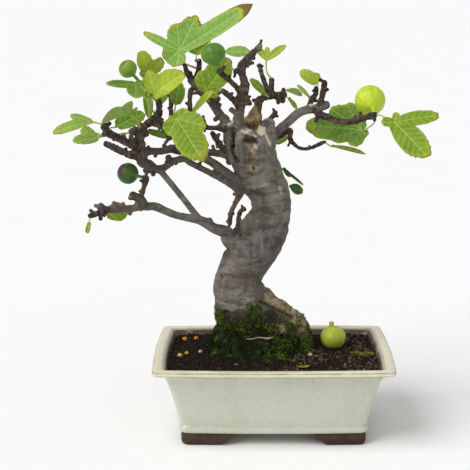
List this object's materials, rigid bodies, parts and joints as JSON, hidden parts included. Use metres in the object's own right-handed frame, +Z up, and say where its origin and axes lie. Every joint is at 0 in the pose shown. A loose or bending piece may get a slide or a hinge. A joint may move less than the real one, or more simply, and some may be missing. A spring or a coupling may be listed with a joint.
{
  "type": "potted fig tree bonsai",
  "caption": "Fig tree trained as a bonsai, with a thick bent trunk, knobbly branches, lobed leaves and small figs, in mossy soil in a rectangular glazed ceramic pot with corner feet.",
  "frame": {"origin": "on the surface the pot stands on, under the middle of the whole object's box; the pot's own middle is 32 mm to the right of it", "axes": "+X to the right along the pot's long side, +Y to the back across the pot, +Z up along the trunk"},
  "size_m": [0.4653, 0.232, 0.5484],
  "materials": {
    "glaze": "cream crackle glaze, unglazed brown feet",
    "netting": "black netting",
    "soil": "dark crumbly potting soil",
    "moss": "soft green moss",
    "bark": "smooth grey bark, dark ringed twigs",
    "leaf": "fresh green blade, paler underside",
    "fig": "waxy green skin",
    "pellet": "dry fertiliser crumb"
  },
  "bodies": {
    "root": {"drain_net_left": "netting", "drain_net_right": "netting", "fallen_leaf": "leaf", "fig_left": "fig", "fig_loose": "fig", "fig_low_left": "fig", "fig_right": "fig", "fig_top": "fig", "leaf_behind_fig": "leaf", "leaf_butterfly": "leaf", "leaf_cluster_low": "leaf", "leaf_crown_low": "leaf", "leaf_crown_right": "leaf", "leaf_curled_pale": "leaf", "leaf_dark_left": "leaf", "leaf_far_left": "leaf", "leaf_folded": "leaf", "leaf_front_large": "leaf", "leaf_hanging": "leaf", "leaf_inner": "leaf", "leaf_left_lobed": "leaf", "leaf_left_low": "leaf", "leaf_low_left": "leaf", "leaf_pale_arch": "leaf", "leaf_right_end": "leaf", "leaf_right_large": "leaf", "leaf_right_round": "leaf", "leaf_right_thin": "leaf", "leaf_stalk_stub": "leaf", "leaf_stem_back": "leaf", "leaf_stem_strip": "leaf", "leaf_top_long": "leaf", "leaf_top_small": "leaf", "leaf_trunk_back": "leaf", "leaf_trunk_oval": "leaf", "leaf_trunk_sprig": "leaf", "leaf_twisted": "leaf", "leaf_under_narrow": "leaf", "leaf_upper_left": "leaf", "moss_mound": "moss", "moss_right": "moss", "pellet_back": "pellet", "pellet_back_left": "pellet", "pellet_left": "pellet", "pellet_left_small": "pellet", "pellet_pale": "pellet", "pellet_right": "pellet", "pot": "glaze", "soil": "soil", "tree": "bark"}
  },
  "joints": []
}
